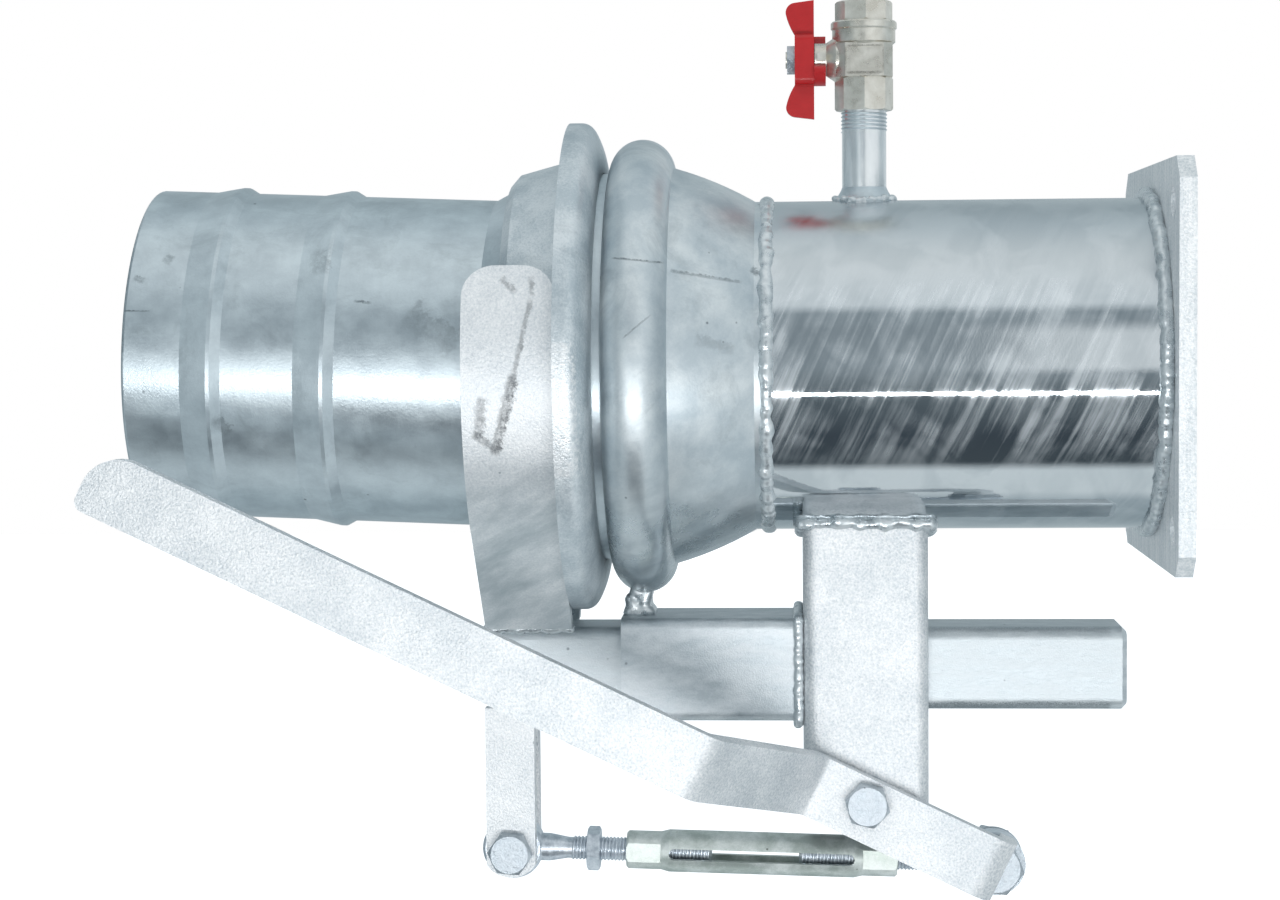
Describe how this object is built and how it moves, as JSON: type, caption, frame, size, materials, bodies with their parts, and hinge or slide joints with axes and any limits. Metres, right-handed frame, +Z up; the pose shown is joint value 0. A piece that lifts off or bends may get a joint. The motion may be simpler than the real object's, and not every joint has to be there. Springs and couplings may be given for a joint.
{
  "type": "irrigation quick coupling",
  "caption": "Lever-clamped ball-and-bell coupling for irrigation pipe, with a square bolting flange, a ribbed hose tail, a turnbuckle link and a small test cock on top.",
  "frame": {"origin": "centre of the square flange's outer face, on the pipe's axis", "axes": "+X points out of the flange along the pipe, the hose tail lies towards -X, +Z is up towards the test cock, +Y is the side away from the lever"},
  "size_m": [0.5, 0.2484, 0.4345],
  "materials": {
    "galv": "hot-dip galvanised steel, satin",
    "zinc": "bright zinc-plated steel",
    "zinc_yellow": "zinc-plated steel with a faint yellow-green passivation",
    "rubber": "black EPDM rubber, matt",
    "nickel_brass": "nickel-plated brass, satin",
    "red": "red enamel, glossy",
    "ptfe": "white PTFE"
  },
  "bodies": {
    "coupling_body": {"flange_plate": "galv", "flange_weld": "galv", "inlet_pipe": "galv", "bell_weld": "galv", "bell_socket": "galv", "seal_ring": "rubber", "guide_tube": "galv", "guide_weld": "galv", "saddle_weld": "galv", "hanger_tube": "galv", "hanger_weld": "galv", "pivot_bolt": "zinc", "pivot_washers": "zinc", "pivot_nut": "zinc", "test_nipple": "galv", "nipple_weld": "galv", "valve_body": "nickel_brass", "valve_end_cap": "nickel_brass", "valve_seats": "ptfe", "stem_gland": "ptfe"},
    "lever": {"clamp_lever": "zinc"},
    "yoke": {"slide_bar": "galv", "slide_end_plate": "galv", "yoke_straps": "galv", "strap_welds": "galv", "link_lugs": "galv", "lug_bolt": "zinc", "lug_nut": "zinc"},
    "ring": {"collar_ring": "galv"},
    "tail": {"hose_tail": "galv"},
    "link": {"lug_eye_screw": "zinc_yellow", "crank_eye_screw": "zinc_yellow", "crank_bolt": "zinc", "crank_washers": "zinc", "crank_nut": "zinc"},
    "sleeve": {"turnbuckle_sleeve": "zinc_yellow"},
    "lock_nut": {"jam_nut": "zinc_yellow"},
    "cock_handle": {"valve_handle": "red", "handle_nut": "zinc", "valve_stem": "nickel_brass", "valve_ball": "nickel_brass"}
  },
  "joints": [
    {"name": "lever_swing", "type": "hinge", "parent": "coupling_body", "child": "lever", "pos_m": [-0.146, 0, -0.2075], "axis": [0, 1, 0], "range_deg": [0, 60]},
    {"name": "yoke_slide", "type": "slide", "parent": "coupling_body", "child": "yoke", "axis": [-1, 0, 0], "range_m": [0, 0.05848]},
    {"name": "link_swing", "type": "hinge", "parent": "yoke", "child": "link", "pos_m": [-0.3193, 0, -0.2369], "axis": [0, 1, 0], "range_deg": [0, 8.87]},
    {"name": "sleeve_spin", "type": "hinge", "parent": "link", "child": "sleeve", "pos_m": [-0.3193, 0, -0.2369], "axis": [0.9996, 0, -0.0271], "continuous": true},
    {"name": "lock_nut_spin", "type": "hinge", "parent": "link", "child": "lock_nut", "pos_m": [-0.3193, 0, -0.2369], "axis": [0.9996, 0, -0.0271], "continuous": true},
    {"name": "ring_swivel", "type": "hinge", "parent": "yoke", "child": "ring", "pos_m": [-0.276, 0, 0], "axis": [1, 0, 0], "continuous": true},
    {"name": "tail_tilt", "type": "hinge", "parent": "ring", "child": "tail", "pos_m": [-0.276, 0, 0], "axis": [0, 1, 0], "range_deg": [-8.3, 3.7]},
    {"name": "cock_turn", "type": "hinge", "parent": "coupling_body", "child": "cock_handle", "pos_m": [-0.1453, 0, 0.1476], "axis": [1, 0, 0], "range_deg": [0, 90]}
  ],
  "couplings": [
    {"joint": "yoke_slide", "follows": "lever_swing", "m_per_rad": 0.055822},
    {"joint": "link_swing", "follows": "lever_swing", "ratio": 0.1476}
  ]
}
